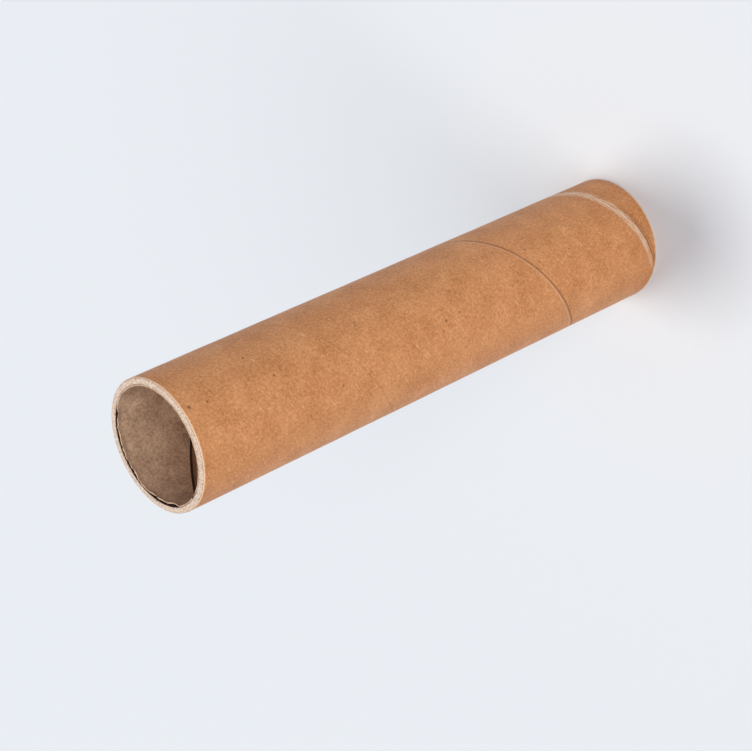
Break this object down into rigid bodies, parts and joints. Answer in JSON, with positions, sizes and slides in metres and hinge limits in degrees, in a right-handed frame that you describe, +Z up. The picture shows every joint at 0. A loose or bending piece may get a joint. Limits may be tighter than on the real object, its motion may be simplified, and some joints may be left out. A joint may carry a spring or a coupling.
{
  "type": "cardboard mailing tube",
  "caption": "Short spiral-wound cardboard mailing tube with a round bore, open at both square-cut ends.",
  "frame": {"origin": "centre of the end that the tube stands on", "axes": "+Z up along the tube's axis, from the end that it stands on to the open end that the picture shows from in front"},
  "size_m": [0.0408, 0.0408, 0.192],
  "materials": {
    "cardboard": "matt kraft paper outside, grey-brown chipboard in the bore, pale cut fibre at the ends"
  },
  "bodies": {
    "root": {"tube": "cardboard"}
  },
  "joints": []
}
